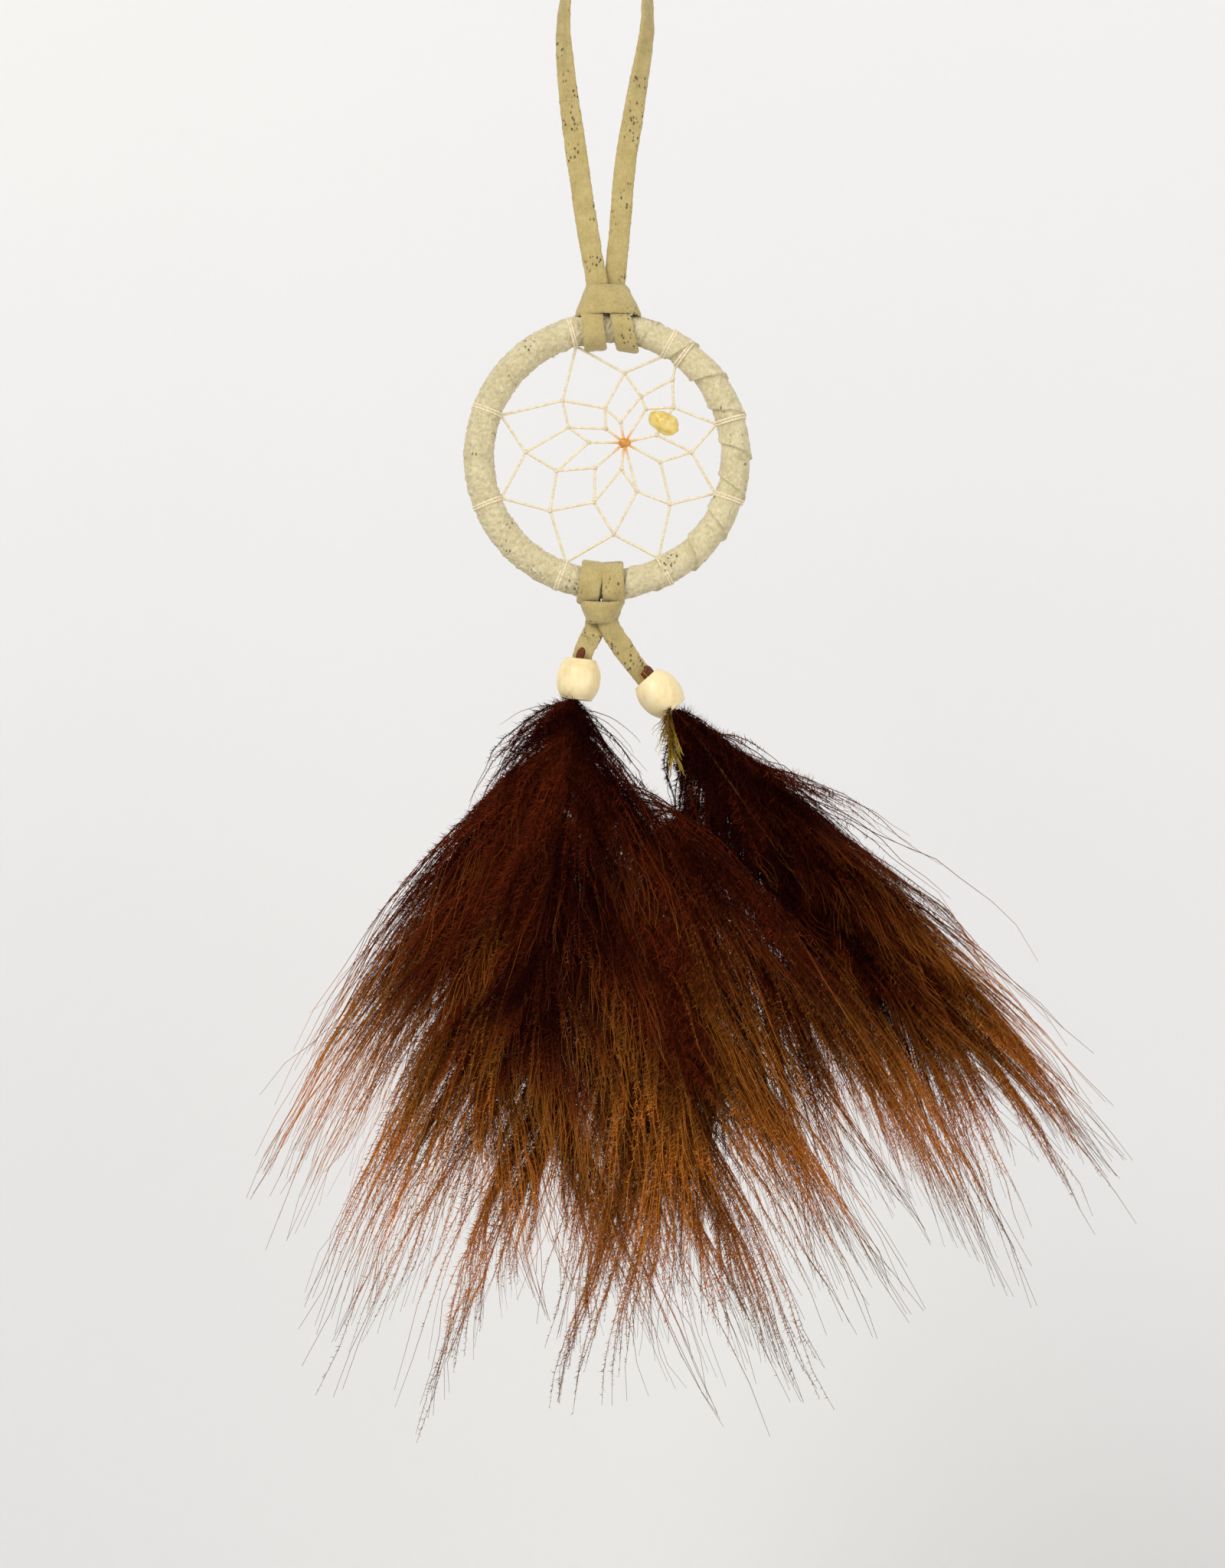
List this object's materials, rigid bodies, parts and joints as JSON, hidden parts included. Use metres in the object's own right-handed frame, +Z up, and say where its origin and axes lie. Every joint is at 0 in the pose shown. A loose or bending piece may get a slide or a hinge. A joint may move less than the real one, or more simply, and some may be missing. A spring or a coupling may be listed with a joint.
{
  "type": "dream catcher",
  "caption": "Lace-wrapped hoop with a knotted thread web, hung from a lace loop, with two beaded lace tails that end in fluffy brown feathers.",
  "frame": {"origin": "inside top of the hanging loop, where it rests on a hook", "axes": "+Z up, the front faces -Y, +X to the right seen from the front"},
  "size_m": [0.1862, 0.0316, 0.325],
  "materials": {
    "lace": "rough tan suede lace with small pores",
    "wrap": "pale cream suede lace, napped",
    "ring": "plain wire ring, hidden by its wrap",
    "thread": "waxed twisted thread, matt",
    "chip": "tumbled translucent yellow stone",
    "bead": "turned pale wood, lightly polished",
    "feather": "soft dyed feathers, dark red-brown with golden-brown tips"
  },
  "bodies": {
    "hanger": {"hanger_loop": "lace"},
    "hanger_knot": {"hanger_knot": "lace"},
    "hoop": {"ring_core": "ring", "hoop_wrap": "wrap", "web_thread": "thread"},
    "stone": {"stone_chip": "chip"},
    "tail_knot": {"tail_knot": "lace"},
    "left_tail": {"left_tail_lace": "lace", "left_feather_1": "feather", "left_feather_2": "feather", "left_feather_3": "feather", "left_feather_4": "feather", "left_feather_5": "feather", "left_feather_6": "feather", "left_feather_7": "feather"},
    "left_bead": {"left_bead": "bead"},
    "right_tail": {"right_tail_lace": "lace", "right_feather_1": "feather", "right_feather_2": "feather", "right_feather_3": "feather", "right_feather_4": "feather", "right_feather_5": "feather"},
    "right_bead": {"right_bead": "bead"}
  },
  "joints": [
    {"name": "hanger_twist", "type": "hinge", "parent": "hanger", "child": "hanger_knot", "pos_m": [0, 0, -0.0777], "axis": [0, 0, 1], "range_deg": [-60, 60]},
    {"name": "hoop_swing", "type": "hinge", "parent": "hanger_knot", "child": "hoop", "pos_m": [0, 0, -0.0876], "axis": [1, 0, 0], "range_deg": [-40, 40]},
    {"name": "stone_spin", "type": "hinge", "parent": "hoop", "child": "stone", "pos_m": [0.01276, 0, -0.10902], "axis": [-0.5243, 0, -0.8516], "continuous": true},
    {"name": "tails_swing", "type": "hinge", "parent": "hoop", "child": "tail_knot", "pos_m": [0, 0, -0.1454], "axis": [1, 0, 0], "range_deg": [-40, 40]},
    {"name": "left_tail_splay", "type": "hinge", "parent": "tail_knot", "child": "left_tail", "pos_m": [-0.00384, 0, -0.15648], "axis": [0, 1, 0], "range_deg": [-10, 25]},
    {"name": "left_bead_slide", "type": "slide", "parent": "left_tail", "child": "left_bead", "axis": [0.1045, 0, 0.9945], "range_m": [0, 0.002]},
    {"name": "right_tail_splay", "type": "hinge", "parent": "tail_knot", "child": "right_tail", "pos_m": [0.00156, 0, -0.15669], "axis": [0, -1, 0], "range_deg": [-20, 25]},
    {"name": "right_bead_slide", "type": "slide", "parent": "right_tail", "child": "right_bead", "axis": [-0.6691, 0, 0.7431], "range_m": [0, 0.003]}
  ]
}
